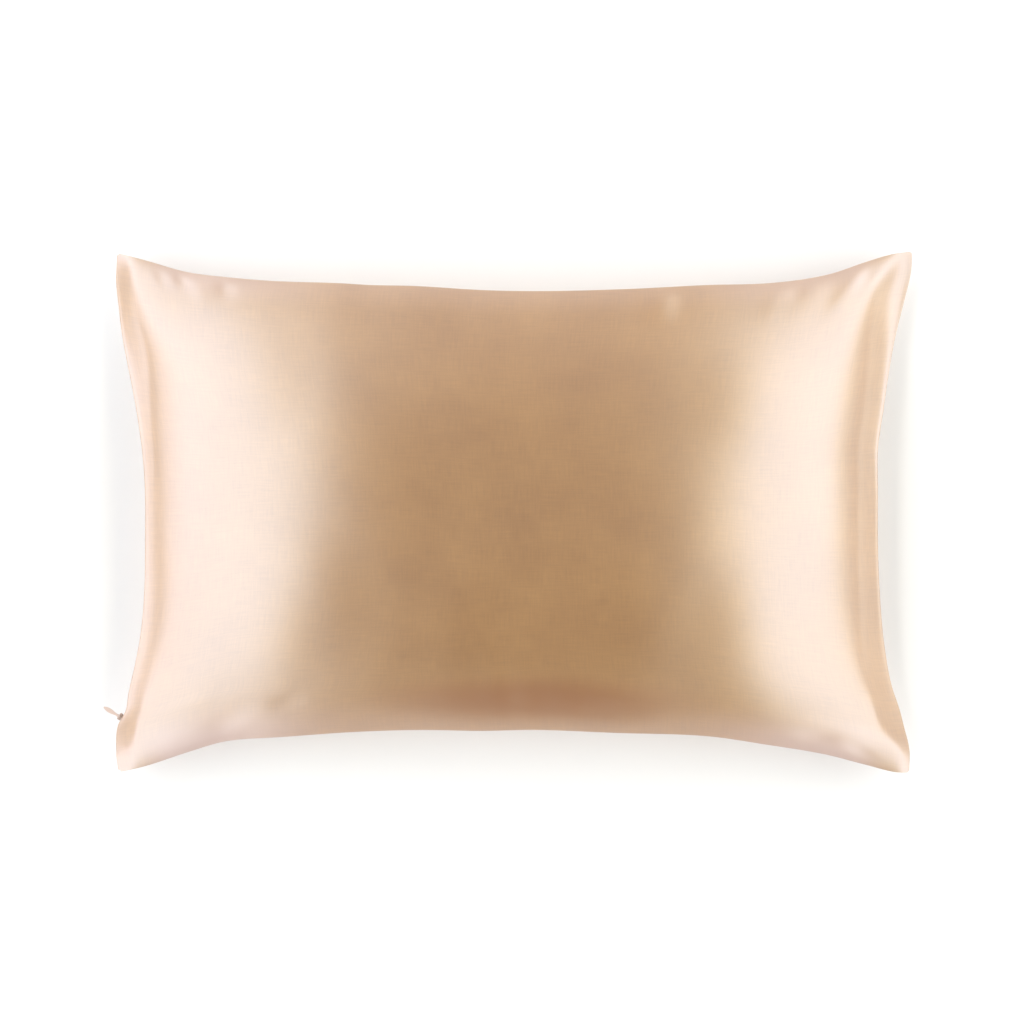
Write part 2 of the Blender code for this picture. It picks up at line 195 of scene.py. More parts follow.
# Soft swells and hollows of the filling. Height is positive for a swell.
Swell = namedtuple("Swell", "x y radius height")
SWELLS = (
    Swell(-165, 30, 150, 2.6),
    Swell(190, -40, 150, 2.2),
    Swell(35, -110, 105, -2.4),
    Swell(-272, -122, 100, 4.0),
    Swell(-275, 128, 95, 3.8),
    Swell(252, 118, 95, 2.0),
    Swell(250, -138, 105, 3.2),
    Swell(-20, 135, 100, 1.6),
    Swell(-212, -84, 92, 3.0),
    Swell(232, 92, 92, 1.8),
    Swell(250, -84, 90, 2.0),
)

# Folds of the satin. The heading is in degrees from +X, and the height is negative for a trough.
Fold = namedtuple("Fold", "x y heading length width height")
FRONT_FOLDS = (
    Fold(329, 217, 234, 46, 17, -0.8),
    Fold(312, 205, 233, 80, 22, 0.7),
    Fold(290, 196, 238, 78, 22, -0.3),
    Fold(264, 205, 244, 36, 20, -0.5),
    Fold(240, 190, 250, 60, 26, 0.3),
    Fold(-329, 219, 300, 34, 14, -0.5),
    Fold(-311, 219, 300, 36, 16, -0.8),
    Fold(-269, 208, 290, 36, 22, -0.9),
    Fold(-292, 204, 296, 44, 22, 0.5),
    Fold(282, -209, 172, 60, 20, -0.7),
    Fold(325, -224, 155, 44, 16, -0.6),
    Fold(-262, -190, 30, 70, 26, -0.5),
    Fold(-210, -176, 20, 50, 24, -0.5),
    Fold(22, -178, 98, 70, 58, -1.0),
    Fold(92, -184, 352, 84, 28, -1.2),
    Fold(-12, -160, 96, 110, 44, 0.9),
    Fold(-42, 194, 100, 44, 32, -1.0),
    Fold(136, 193, 78, 56, 36, 1.7),
)
BACK_FOLDS = (
    Fold(330, 205, 228, 90, 20, -2.6),
    Fold(306, 212, 238, 62, 18, 2.0),
    Fold(-328, 208, 312, 90, 20, -2.6),
    Fold(-300, 212, 300, 58, 18, 2.0),
    Fold(-330, -206, 48, 96, 20, -2.8),
    Fold(-304, -212, 60, 60, 18, 2.0),
    Fold(328, -208, 133, 90, 20, -2.6),
    Fold(302, -212, 121, 58, 18, 2.0),
    Fold(-120, 186, 88, 70, 32, -2.0),
    Fold(60, 184, 94, 70, 34, -2.2),
    Fold(180, -184, 86, 66, 32, -2.0),
    Fold(-70, -182, 93, 72, 34, -2.2),
)

# Painted reflection: where the silk is painted paler and pinker for the low light that the steep cloth by
# the long
# seams turns to. In metres of flat cloth: by how far in it is from the near and the far long seam, and by
# how far it is from the middle of the length, most towards the ends but not at the tips.
BY_NEAR_SEAM = {"From Min": 0.004, "From Max": 0.048, "To Min": 1.0, "To Max": 0.0}
BY_FAR_SEAM = {"From Min": 0.472, "From Max": 0.504, "To Min": 0.0, "To Max": 0.6}
TOWARDS_END = {"From Min": 0.15, "From Max": 0.31, "To Min": 0.22, "To Max": 1.0}
OFF_TIP = {"From Min": 0.325, "From Max": 0.365, "To Min": 1.0, "To Max": 0.2}

# An oval where the colour is redder, in metres of flat cloth, and the shares of its reach where it fades.
RED_OVAL_MIDDLE = (0.4039, 0.03786)
RED_OVAL_REACH = (0.1961, 0.03571)
RED_OVAL_FADE = {"From Min": 0.2, "From Max": 1.0, "To Min": 1.0, "To Max": 0.0}

# Soft lights, all turned to the case's middle. Places and sizes are in metres, and the strength is for each
# square metre.
Light = namedtuple("Light", "name x y z breadth height strength colour")
LIGHTS = (
    Light("left warm edge", -1.23, 0.0, 2.29, 16.0, 0.345, 7.4, (1.00, 0.95, 0.82)),
    Light("left wall of light", -2.16, 0.0, 1.49, 16.0, 2.24, 7.8, (0.93, 0.975, 1.03)),
    Light("left low strip", -2.89, 0.0, 0.25, 16.0, 0.46, 8.6, (1.0, 0.95, 0.96)),
    Light("right warm edge", 1.34, 0.0, 2.23, 16.0, 0.38, 6.2, (1.00, 0.90, 0.62)),
    Light("right wall of light", 2.23, 0.0, 1.39, 16.0, 2.20, 7.8, (0.95, 0.975, 1.0)),
    Light("right low strip", 2.89, 0.0, 0.25, 16.0, 0.46, 5.8, (0.98, 0.94, 0.70)),
    Light("far card", 0.0, 1.7, 1.7, 1.6, 1.6, 3.1, (1.0, 0.92, 0.92)),
    Light("far left card", -2.6, 2.4, 0.7, 1.8, 1.0, 4.0, (0.9, 0.85, 1.1)),
    Light("far right card", 2.6, 2.4, 0.7, 1.8, 1.0, 4.5, (0.9, 0.85, 1.1)),
    Light("near left card", -3.2, -1.7, 0.4, 1.8, 0.8, 6.0, (0.80, 0.85, 1.2)),
    Light("near right card", 3.2, -1.7, 0.4, 1.8, 0.8, 5.0, (0.80, 0.85, 1.2)),
)

# Half sizes and height, in metres, of the outer floor's inner rim, its outer rim and the top of the walls.
Rim = namedtuple("Rim", "half_x half_y z")
SURROUND = (Rim(2.8, 7.0, 0.001), Rim(18.0, 18.0, 0.001), Rim(18.0, 18.0, 12.0))
FLOOR_DROP = 0.0002  # keeps the floor just under what rests on it
SENSOR_WIDTH = 36.0  # millimetres


def linear(hex_colour):
    """An sRGB hex colour, such as #b28b64, as linear red, green, blue and alpha."""
    channels = [int(hex_colour[i : i + 2], 16) / 255 for i in (1, 3, 5)]
    return (*(c / 12.92 if c <= 0.04045 else ((c + 0.055) / 1.055) ** 2.4 for c in channels), 1.0)


class CaseShape(bpy.types.PropertyGroup):
    """Sizes of the filled case."""

    seam_height: FloatProperty(
        name="Seam Height",
        description="Of the pillow's edge at the case's middle",
        default=0.057,
        unit="LENGTH",
    )
    seam_thickness: FloatProperty(
        name="Seam Thickness",
        description="Of the sewn edge",
        default=0.0016,
        unit="LENGTH",
        precision=4,
    )
    crown: FloatProperty(
        name="Crown",
        description="How far the filling lifts the front off the seam",
        default=0.075,
        unit="LENGTH",
    )
    back_crown: FloatProperty(
        name="Back Crown",
        description="How far it would push the back down, unpressed",
        default=0.084,
        unit="LENGTH",
    )
    spread: FloatProperty(name="Spread", description="How flat the dome is on top", default=2.8)
    edge_softness: FloatProperty(
        name="Edge Softness", description="How gently the dome leaves the pillow's edge", default=0.18
    )
    crease_softness: FloatProperty(
        name="Crease Softness",
        description="How rounded the front's crease at the pillow's ends is",
        default=0.02,
    )
    fold_fade: FloatProperty(
        name="Fold Fade",
        description="How far in from the seam the folds start",
        default=0.013,
        unit="LENGTH",
    )
    sag_spread: FloatProperty(
        name="Sag Spread", description="How closely the sag keeps to the corners", default=2.2
    )
    rest_ease: FloatProperty(
        name="Rest Ease",
        description="How softly the back meets its flat patch",
        default=0.006,
        unit="LENGTH",
    )
    rest_curl: FloatProperty(
        name="Rest Curl",
        description="How far the back curls up past the patch's rim",
        default=0.010,
        unit="LENGTH",
    )
    rest_curl_reach: FloatProperty(
        name="Rest Curl Reach",
        description="How far out the back goes on curling",
        default=0.070,
        unit="LENGTH",
    )
    rest_along: FloatProperty(
        name="Rest Along",
        description="How far the flat patch reaches along, as a share",
        default=0.2443,
    )
    rest_across: FloatProperty(
        name="Rest Across",
        description="How far the flat patch reaches across, as a share",
        default=0.2746,
    )
    lines_along: IntProperty(
        name="Lines Along", description="Columns of the cloth's cage", default=120, min=20
    )
    lines_across: IntProperty(
        name="Lines Across", description="Rows of the cloth's cage", default=80, min=16
    )
    crowding: FloatProperty(
        name="Crowding", description="How much closer the outer lines stand", default=0.70
    )


class SatinLook(bpy.types.PropertyGroup):
    """Colours and thread sizes of the satin."""

    dye: StringProperty(
        name="Dye",
        description="sRGB colour of the silk away from any light's reflection",
        default="#91622c",
    )
    dye_light: StringProperty(
        name="Pale Dye", description="sRGB colour of the paler threads", default="#b48549"
    )
    # Painted reflection: the paler, pinker colour painted along the long seams for the low light the steep
    # cloth there turns to.
    seam_painted_reflection: StringProperty(
        name="Seam Painted Reflection",
        description="sRGB colour of the paler silk by the long seams",
        default="#bf9f93",
    )
    # The colour of one long oval above the near long seam, where the silk is drawn redder.
    red_oval_colour: StringProperty(
        name="Red Oval Colour", description="sRGB colour where the dye took redder", default="#965d1e"
    )
    bloom: StringProperty(
        name="Bloom", description="sRGB colour of the soft bloom on steep cloth", default="#f9edff"
    )
    thread_spacing: FloatProperty(
        name="Thread Spacing",
        description="Between two warp floats, as drawn",
        default=REAL_THREAD_SPACING * DRAWN_COARSER,
        unit="LENGTH",
        precision=4,
    )
    slub_length: FloatProperty(
        name="Slub Length",
        description="Run of one uneven thread",
        default=0.024,
        unit="LENGTH",
        precision=3,
    )
    float_height: FloatProperty(
        name="Float Height",
        description="Relief of the threads",
        default=0.0004,
        unit="LENGTH",
        precision=4,
    )
    roughness: FloatProperty(
        name="Roughness", description="Of the floats' shine", default=0.5, min=0, max=1
    )


class ZipLook(bpy.types.PropertyGroup):
    """Colours of the zip's enamel."""

    slider: StringProperty(
        name="Slider", description="sRGB colour of the slider's enamel", default="#bda79b"
    )
    pull: StringProperty(name="Pull", description="sRGB colour of the pull's enamel", default="#d3bdb1")


class StudioSetup(bpy.types.PropertyGroup):
    """Camera, floor, walls and air."""

    camera_height: FloatProperty(
        name="Camera Height", description="Above the floor", default=2.9, unit="LENGTH"
    )
    camera_shift: FloatProperty(
        name="Camera Shift",
        description="Along the case from its middle",
        default=-0.0014,
        unit="LENGTH",
        precision=4,
    )
    view_width: FloatProperty(
        name="View Width",
        description="What the camera takes in at the seam's height",
        default=0.9533,
        unit="LENGTH",
    )
    floor_size: FloatProperty(
        name="Floor Size", description="Side of the paper floor", default=40.0, unit="LENGTH"
    )
    floor_colour: StringProperty(
        name="Floor", description="sRGB colour of the floor", default="#f2f2f1"
    )
    wall_colour: StringProperty(name="Walls", description="sRGB colour of the walls", default="#e2e2e1")
    air_glow: FloatProperty(
        name="Air Glow", description="Light that comes from all round", default=0.04, min=0
    )


def read(table, way, name="amount"):
    """Reads one column of a table along a smooth curve through its rows."""
    ways = np.array([row.way for row in table])
    amounts = np.array([getattr(row, name) for row in table])
    rows = np.arange(len(table))
    low, high = np.maximum(rows - 1, 0), np.minimum(rows + 1, len(table) - 1)
    slopes = (amounts[high] - amounts[low]) / (ways[high] - ways[low])
    after = np.clip(np.searchsorted(ways, way), 1, len(table) - 1)
    span = ways[after] - ways[after - 1]
    t = (way - ways[after - 1]) / span
    return (
        (2 * t**3 - 3 * t**2 + 1) * amounts[after - 1]
        + (t**3 - 2 * t**2 + t) * span * slopes[after - 1]
        + (3 * t**2 - 2 * t**3) * amounts[after]
        + (t**3 - t**2) * span * slopes[after]
    )


def ease(share):
    """A soft step from 0 to 1."""
    held = np.clip(share, 0.0, 1.0)
    return held * held * (3.0 - 2.0 * held)


def hump(share):
    """A soft hump that is 1 at 0 and falls to 0 at 1 on either side."""
    return np.where(np.abs(share) < 1.0, np.cos(0.5 * np.pi * share) ** 2, 0.0)


def swell_height(x, y):
    """How far the soft swells and hollows of the filling lift the front panel."""
    return sum(s.height * hump(np.hypot(x / MM - s.x, y / MM - s.y) / s.radius) for s in SWELLS) * MM


def fold_height(folds, x, y):
    """How far the folds in a table lift a panel. Each is a long hump or trough with soft ends."""
    total = 0.0
    for fold in folds:
        heading = math.radians(fold.heading)
        dx, dy = x / MM - fold.x, y / MM - fold.y
        along_fold = dx * math.cos(heading) + dy * math.sin(heading)
        across_fold = dy * math.cos(heading) - dx * math.sin(heading)
        ridge = hump(2.0 * along_fold / fold.length) * hump(2.0 * across_fold / fold.width)
        total = total + fold.height * ridge
    return total * MM


def corner_value(along, across, name):
    """A corner's own figure, shared out between the four corners by how near each of them is."""
    total = 0.0
    for corner in CORNERS:
        near_x = along if corner.right else 1.0 - along
        near_y = across if corner.top else 1.0 - across
        total = total + near_x * near_y * getattr(corner, name)
    return total * MM


def from_middle(share, low_flange=0.0, high_flange=0.0):
    """How far out a share is: 0 at the pillow's middle, 1 at its edge, and more on the cloth past that."""
    return np.abs(2.0 * (share - low_flange) / (1.0 - low_flange - high_flange) - 1.0)


class CaseForm:
    """Works out where each point of the filled case lies, from its shares of the way along and across."""

    def __init__(self, shape):
        self.shape = shape
        self.length = FLAT_LENGTH - TAKEN_UP_LONG
        self.width = FLAT_WIDTH - TAKEN_UP_WIDE

    def plan(self, along, across):
        """Where a point lies seen from above, with the sides drawn in and the corners turned blunt."""
        x = self.length * (along - 0.5)
        x = x + MM * (read(LEFT_SIDE, across) * (1.0 - along) - read(RIGHT_SIDE, across) * along)
        y = self.width * (across - 0.5)
        y = y + MM * (read(BOTTOM_SIDE, along) * (1.0 - across) - read(TOP_SIDE, along) * across)
        at_corner = ((along == 0) | (along == 1)) & ((across == 0) | (across == 1))
        blunt = np.where(at_corner, corner_value(along, across, "blunt"), 0.0)
        return x - np.sign(x) * blunt, y - np.sign(y) * blunt

    def dome(self, lift):
        """Share of the crown at a lift of 0 to 1, leaving the pillow's edge at a slope."""
        soft = math.sqrt(self.shape.edge_softness)
        return (np.sqrt(lift + soft**2) - soft) / (math.sqrt(1.0 + soft**2) - soft)

    def front_share(self, along, across):
        """Share of the front's crown, which ends at the pillow's edge."""
        flanges = [MM / self.length * read(end, across, "flange") for end in (LEFT_END, RIGHT_END)]
        lift = 1.0 - from_middle(along, *flanges) ** self.shape.spread
        lift = 0.5 * (lift + np.hypot(lift, self.shape.crease_softness))
        return self.dome(lift * (1.0 - from_middle(across) ** self.shape.spread))

    def back_share(self, along, across):
        """Share of the back's crown, which ends at the seam."""
        spread = self.shape.spread
        return self.dome((1.0 - from_middle(along) ** spread) * (1.0 - from_middle(across) ** spread))

    def hang(self, end, from_seam, across):
        """How far the cloth hangs down past the pillow's edge, at a distance in from the seam."""
        columns = ("flange", "slope", "turn", "soft")
        flange, slope, turn, soft = (read(end, across, name) for name in columns)
        past_edge = flange - from_seam / MM
        past_edge = np.minimum(0.5 * (past_edge + np.hypot(past_edge, soft)), flange)
        return MM * slope * flange / turn * (1.0 - (1.0 - past_edge / flange) ** turn)

    def droop(self, along, across):
        """How far the sheet between the panels hangs below its own middle, at either end."""
        left = self.hang(LEFT_END, along * self.length, across)
        return left + self.hang(RIGHT_END, (1.0 - along) * self.length, across)

    def seam_level(self, along, across):
        """Height of the sheet between the panels, which ends at the seam and sags towards the corners."""
        to_corner = np.abs((2.0 * along - 1.0) * (2.0 * across - 1.0)) ** self.shape.sag_spread
        sag = corner_value(along, across, "sag") * to_corner
        return self.shape.seam_height - sag - self.droop(along, across)

    def inside_seam(self, along, across):
        """0 at the seam and 1 once past the strip beside it that has no folds."""
        to_end = np.minimum(along, 1.0 - along) * self.length
        to_side = np.minimum(across, 1.0 - across) * self.width
        return ease(np.minimum(to_end, to_side) / self.shape.fold_fade)

    def curl(self, along, across):
        """How far the back has curled up off the floor, past the rim of the flat patch."""
        past_end = np.maximum(np.abs(along - 0.5) - self.shape.rest_along, 0.0) * self.length
        past_side = np.maximum(np.abs(across - 0.5) - self.shape.rest_across, 0.0) * self.width
        return self.shape.rest_curl * ease(np.hypot(past_end, past_side) / self.shape.rest_curl_reach)

    def rest_softly(self, height):
        """Keeps a height from going below 0, and rounds the place where it gets there."""
        soft = self.shape.rest_ease
        eased = (height + soft) ** 2 / (4.0 * soft)
        return np.where(height <= -soft, 0.0, np.where(height >= soft, height, eased))

    def points(self, along, across, layer):
        """Points of the front panel, the back panel or the sewn edge, by the layer of their blank."""
        x, y = self.plan(along, across)
        level = self.seam_level(along, across)
        inside = self.inside_seam(along, across)
        half = 0.5 * self.shape.seam_thickness
        rise = (self.shape.crown + swell_height(x, y)) * self.front_share(along, across)
        rise = rise + fold_height(FRONT_FOLDS, x, y) * inside
        fall = self.shape.back_crown * self.back_share(along, across)
        fall = fall + fold_height(BACK_FOLDS, x, y) * inside
        front = level + half + rise
        held = self.curl(along, across)
        back = held + self.rest_softly(level - half - fall - held)
        between = 0.5 * BLANK_LAYER
        z = np.where(layer > between, front, np.where(layer < -between, back, level))
        return np.stack([x, y, z], axis=1)


def crowded(share, crowding):
    """Moves even shares towards the nearer end, so that lines stand closer there."""
    moved = share - crowding * np.sin(2.0 * np.pi * share) / (2.0 * np.pi)
    return np.where(share <= 0, 0.0, np.where(share >= 1, 1.0, moved))


def blank_envelope(shape):
    """Two flat grids sewn together at their rims through one middle line, a mesh in shares and layers."""
    bm = bmesh.new()
    rims = []
    lines = {"x_segments": shape.lines_along, "y_segments": shape.lines_across}
    for layer in (BLANK_LAYER, -BLANK_LAYER):
        grid = bmesh.ops.create_grid(bm, size=0.5, **lines)
        for vert in grid["verts"]:
            vert.co.z = layer
        edges = {edge for vert in grid["verts"] for edge in vert.link_edges}
        rims += [edge for edge in edges if edge.is_boundary]
    bridge = bmesh.ops.bridge_loops(bm, edges=rims)
    uprights = {e for face in bridge["faces"] for e in face.edges if e.verts[0].co.z != e.verts[1].co.z}
    bmesh.ops.subdivide_edges(bm, edges=list(uprights), cuts=1)
    bmesh.ops.recalc_face_normals(bm, faces=bm.faces)
    mesh = bpy.data.meshes.new("filled_case_satin")
    bm.to_mesh(mesh)
    bm.free()
    return mesh


def outward(share, on_edge):
    """-1 or 1 for points of the sewn edge at the low or the high end of a share, and 0 for all others."""
    return np.where(on_edge, np.where(share == 1, 1.0, np.where(share == 0, -1.0, 0.0)), 0.0)


def sewn_case(shape):
    """The case's cage with its points in place and a UV map named cloth, in metres of flat cloth."""
    mesh = blank_envelope(shape)
    blank = np.empty(len(mesh.vertices) * 3, np.float32)
    mesh.vertices.foreach_get("co", blank)
    blank = blank.reshape(-1, 3).astype(float)
    even_along = np.round((blank[:, 0] + 0.5) * shape.lines_along) / shape.lines_along
    even_across = np.round((blank[:, 1] + 0.5) * shape.lines_across) / shape.lines_across
    along, across = crowded(even_along, shape.crowding), crowded(even_across, shape.crowding)
    co = CaseForm(shape).points(along, across, blank[:, 2])
    mesh.vertices.foreach_set("co", co.astype(np.float32).ravel())

    corners = np.empty(len(mesh.loops), np.int32)
    mesh.loops.foreach_get("vertex_index", corners)
    on_edge = np.abs(blank[:, 2]) < 0.5 * BLANK_LAYER
    over_edge = 0.5 * shape.seam_thickness
    u = along * FLAT_LENGTH + outward(along, on_edge) * over_edge
    v = across * FLAT_WIDTH + outward(across, on_edge) * over_edge
    uv = np.stack([u, v], axis=1)[corners]
    mesh.uv_layers.new(name="cloth").data.foreach_set("uv", uv.astype(np.float32).ravel())
    mesh.shade_smooth()
    mesh.update()
    return mesh


def add(tree, kind, inputs=None, **settings):
    """Adds a node. An input, by name or place, takes a number, a colour or another node's output."""
    made = tree.nodes.new(kind)
    for name, value in settings.items():
        setattr(made, name, value)
    for name, value in (inputs or {}).items():
        if isinstance(value, bpy.types.NodeSocket):
            tree.links.new(value, made.inputs[name])
        else:
            made.inputs[name].default_value = value
    return made


def blank_material(name):
    """A new material with no nodes, and its node tree."""
    made = bpy.data.materials.new(name)
    made.use_nodes = True
    made.node_tree.nodes.clear()
    return made, made.node_tree


def satin_threads(tree, cloth, look):
    """Unevenness of the warp and the weft, as one height, drawn coarser than the real threads."""
    fine, run = 1.0 / look.thread_spacing, 1.0 / look.slub_length
    sets = []
    for scale in ((fine, run, 1.0), (run, fine, 1.0)):
        lay = add(tree, "ShaderNodeMapping", {"Vector": cloth, "Scale": scale})
        uneven = {"Vector": lay.outputs["Vector"], "Scale": 1.0, "Detail": 2.0}
        sets.append(add(tree, "ShaderNodeTexNoise", uneven).outputs["Fac"])
    warp, weft = sets
    weave = add(tree, "ShaderNodeMath", {0: warp, 1: weft}, operation="ADD")
    return weave.outputs["Value"]


def dyed_ground(tree, cloth, threads, look):
    """Colour of the dyed silk, a little uneven from thread to thread and from place to place."""
    cloud = add(tree, "ShaderNodeTexNoise", {"Vector": cloth, "Scale": 14.0, "Detail": 3.0})
    uneven = add(tree, "ShaderNodeMath", {0: cloud.outputs["Fac"], 1: threads}, operation="ADD")
    spread = {"Value": uneven.outputs["Value"], "From Min": 0.9, "From Max": 2.1}
    share = add(tree, "ShaderNodeMapRange", spread)
    dyes = {"Factor": share.outputs["Result"], "A": linear(look.dye), "B": linear(look.dye_light)}
    return add(tree, "ShaderNodeMix", dyes, data_type="RGBA").outputs["Result"]


def paint_reflection_by_seams(tree, cloth, colour, look):
    """Paints a paler, pinker reflection of low light into the colour along the two long seams, where the
    cloth turns to the light.
    """
    place = add(tree, "ShaderNodeSeparateXYZ", {"Vector": cloth})
    middle = 0.5 * FLAT_LENGTH
    centred = add(tree, "ShaderNodeMath", {0: place.outputs["X"], 1: middle}, operation="SUBTRACT")
    off_centre = add(tree, "ShaderNodeMath", {0: centred.outputs["Value"]}, operation="ABSOLUTE")
    soft = {"interpolation_type": "SMOOTHSTEP"}
    shares = []
    for where, reach in (
        (place.outputs["Y"], BY_NEAR_SEAM),
        (place.outputs["Y"], BY_FAR_SEAM),
        (off_centre.outputs["Value"], TOWARDS_END),
        (off_centre.outputs["Value"], OFF_TIP),
    ):
        shares.append(add(tree, "ShaderNodeMapRange", {"Value": where, **reach}, **soft).outputs["Result"])
    near, far, end, tip = shares
    by_seam = add(tree, "ShaderNodeMath", {0: near, 1: far}, operation="ADD").outputs["Value"]
    by_end = add(tree, "ShaderNodeMath", {0: end, 1: tip}, operation="MULTIPLY").outputs["Value"]
    # Share of the painted reflection: most by the seams and towards the ends.
    pale = add(tree, "ShaderNodeMath", {0: by_seam, 1: by_end}, operation="MULTIPLY")
    dyes = {"Factor": pale.outputs["Value"], "A": colour, "B": linear(look.seam_painted_reflection)}
    return add(tree, "ShaderNodeMix", dyes, data_type="RGBA").outputs["Result"]


def reddened_oval(tree, cloth, colour, look):
    """Makes the colour redder in one long oval above the near long seam."""
    scale = [1.0 / reach for reach in RED_OVAL_REACH]
    location = [-middle * by for middle, by in zip(RED_OVAL_MIDDLE, scale)]
    round_middle = {"Vector": cloth, "Location": (*location, 0.0), "Scale": (*scale, 0.0)}
    oval = add(tree, "ShaderNodeMapping", round_middle)
    out = add(tree, "ShaderNodeVectorMath", {"Vector": oval.outputs["Vector"]}, operation="LENGTH")
    fade = {"Value": out.outputs["Value"], **RED_OVAL_FADE}
    red = add(tree, "ShaderNodeMapRange", fade, interpolation_type="SMOOTHSTEP")
    dyes = {"Factor": red.outputs["Result"], "A": colour, "B": linear(look.red_oval_colour)}
    return add(tree, "ShaderNodeMix", dyes, data_type="RGBA").outputs["Result"]


def silk_charmeuse(look):
    """Dyed mulberry silk in a satin weave: long smooth floats, with a broad shine over a deep dull ground.

    The floats all run one way, so the shine is drawn out across them. Silk's own index is about 1.55. It
    and the specular level are raised, as floats that lie flat together mirror more than one fibre does.
    """
    made, tree = blank_material("silk charmeuse, piece dyed")
    cloth = add(tree, "ShaderNodeUVMap", uv_map="cloth").outputs["UV"]
    threads = satin_threads(tree, cloth, look)
    colour = dyed_ground(tree, cloth, threads, look)
    # Paints the reflection of low light along the long seams into the colour.
    colour = paint_reflection_by_seams(tree, cloth, colour, look)
    colour = reddened_oval(tree, cloth, colour, look)
    height = {"Height": threads, "Strength": 0.07, "Distance": look.float_height}
    relief = add(tree, "ShaderNodeBump", height)
    tangent = add(tree, "ShaderNodeTangent", direction_type="UV_MAP", uv_map="cloth")
    shader = add(
        tree,
        "ShaderNodeBsdfPrincipled",
        {
            "Base Color": colour,
            "Roughness": look.roughness,
            "IOR": 2.4,
            "Specular IOR Level": 1.0,
            "Anisotropic": 0.9,
            "Anisotropic Rotation": 0.25,
            "Tangent": tangent.outputs["Tangent"],
            "Sheen Weight": 0.1,
            "Sheen Tint": linear(look.bloom),
            "Sheen Roughness": 0.4,
            "Normal": relief.outputs["Normal"],
        },
    )
    add(tree, "ShaderNodeOutputMaterial", {"Surface": shader.outputs["BSDF"]})
    return made


def enamelled_zinc(name, hex_colour):
    """Cast zinc under a baked enamel: smooth, a little glossy, with the faint waviness of a stoved coat."""
    made, tree = blank_material(name)
    place = add(tree, "ShaderNodeTexCoord")
    uneven = {"Vector": place.outputs["Object"], "Scale": 900.0, "Detail": 1.0}
    wave = add(tree, "ShaderNodeTexNoise", uneven)
    height = {"Height": wave.outputs["Fac"], "Strength": 0.15, "Distance": 0.00005}
    relief = add(tree, "ShaderNodeBump", height)
    finish = {"Base Color": linear(hex_colour), "Roughness": 0.35, "IOR": 1.5}
    shader = add(tree, "ShaderNodeBsdfPrincipled", {**finish, "Normal": relief.outputs["Normal"]})
    add(tree, "ShaderNodeOutputMaterial", {"Surface": shader.outputs["BSDF"]})
    return made


def matt_paper(hex_colour):
    """A seamless sheet of matt studio paper: pale and even, with no shine."""
    made, tree = blank_material("matt studio paper")
    place = add(tree, "ShaderNodeTexCoord")
    uneven = {"Vector": place.outputs["Object"], "Scale": 500.0, "Detail": 2.0}
    fibre = add(tree, "ShaderNodeTexNoise", uneven)
    height = {"Height": fibre.outputs["Fac"], "Strength": 0.05, "Distance": 0.0001}
    relief = add(tree, "ShaderNodeBump", height)
    finish = {"Base Color": linear(hex_colour), "Roughness": 0.95, "Specular IOR Level": 0.1}
    shader = add(tree, "ShaderNodeBsdfPrincipled", {**finish, "Normal": relief.outputs["Normal"]})
    add(tree, "ShaderNodeOutputMaterial", {"Surface": shader.outputs["BSDF"]})
    return made


def distempered_wall(hex_colour):
    """A pale distempered studio wall, lit so evenly that it only glows: soft, flat and faintly clouded."""
    made, tree = blank_material("pale distempered wall")
    place = add(tree, "ShaderNodeTexCoord")
    uneven = {"Vector": place.outputs["Object"], "Scale": 0.4, "Detail": 2.0}
    cloud = add(tree, "ShaderNodeTexNoise", uneven)
    glow = add(tree, "ShaderNodeMapRange", {"Value": cloud.outputs["Fac"], "To Min": 0.96, "To Max": 1.04})
    light = {"Color": linear(hex_colour), "Strength": glow.outputs["Result"]}
    shine = add(tree, "ShaderNodeEmission", light)
    add(tree, "ShaderNodeOutputMaterial", {"Surface": shine.outputs["Emission"]})
    return made


def lay_floor(studio):
    """A sheet of paper under the case, past the edge of any view."""
    bpy.ops.mesh.primitive_plane_add(size=studio.floor_size, location=(0.0, 0.0, -FLOOR_DROP))
    floor = bpy.context.active_object
    floor.name = "paper_floor"
    floor.data.materials.append(matt_paper(studio.floor_colour))


def build_surround(scene, studio):
    """Outer floor and walls past the lights. Only the camera sees them, so they don't light the satin."""
    bm = bmesh.new()
    corners = ((1, 1), (-1, 1), (-1, -1), (1, -1))
    rims = [[bm.verts.new((rim.half_x * x, rim.half_y * y, rim.z)) for x, y in corners] for rim in SURROUND]
    for inner, outer in zip(rims, rims[1:]):
        for i in range(len(corners)):
            bm.faces.new((inner[i], inner[i - 1], outer[i - 1], outer[i]))
    mesh = bpy.data.meshes.new("pale_surround")
    bm.to_mesh(mesh)
    bm.free()
    mesh.materials.append(distempered_wall(studio.wall_colour))
    surround = bpy.data.objects.new("pale_surround", mesh)
    surround.visible_diffuse = surround.visible_glossy = surround.visible_transmission = False
    surround.visible_volume_scatter = surround.visible_shadow = False
    scene.collection.objects.link(surround)


def hang_light(scene, light):
    """Hangs one soft light with its long side level, turned to the case's middle."""
    lamp = bpy.data.lights.new(light.name, "AREA")
    lamp.shape = "RECTANGLE"
    lamp.size = light.breadth
    lamp.size_y = light.height
    lamp.color = light.colour
    lamp.energy = light.strength * light.breadth * light.height
    holder = bpy.data.objects.new(light.name, lamp)
    holder.location = (light.x, light.y, light.z)
    holder.rotation_euler = (-holder.location).to_track_quat("-Z", "Y").to_euler()
    holder.visible_camera = False
    scene.collection.objects.link(holder)


def fill_air(scene, studio):
    """A faint white light from all round, which keeps the underside from going black."""
    world = bpy.data.worlds.new("studio air")
    world.use_nodes = True
    background = world.node_tree.nodes["Background"]
    background.inputs["Color"].default_value = (1.0, 1.0, 1.0, 1.0)
    background.inputs["Strength"].default_value = studio.air_glow
    scene.world = world


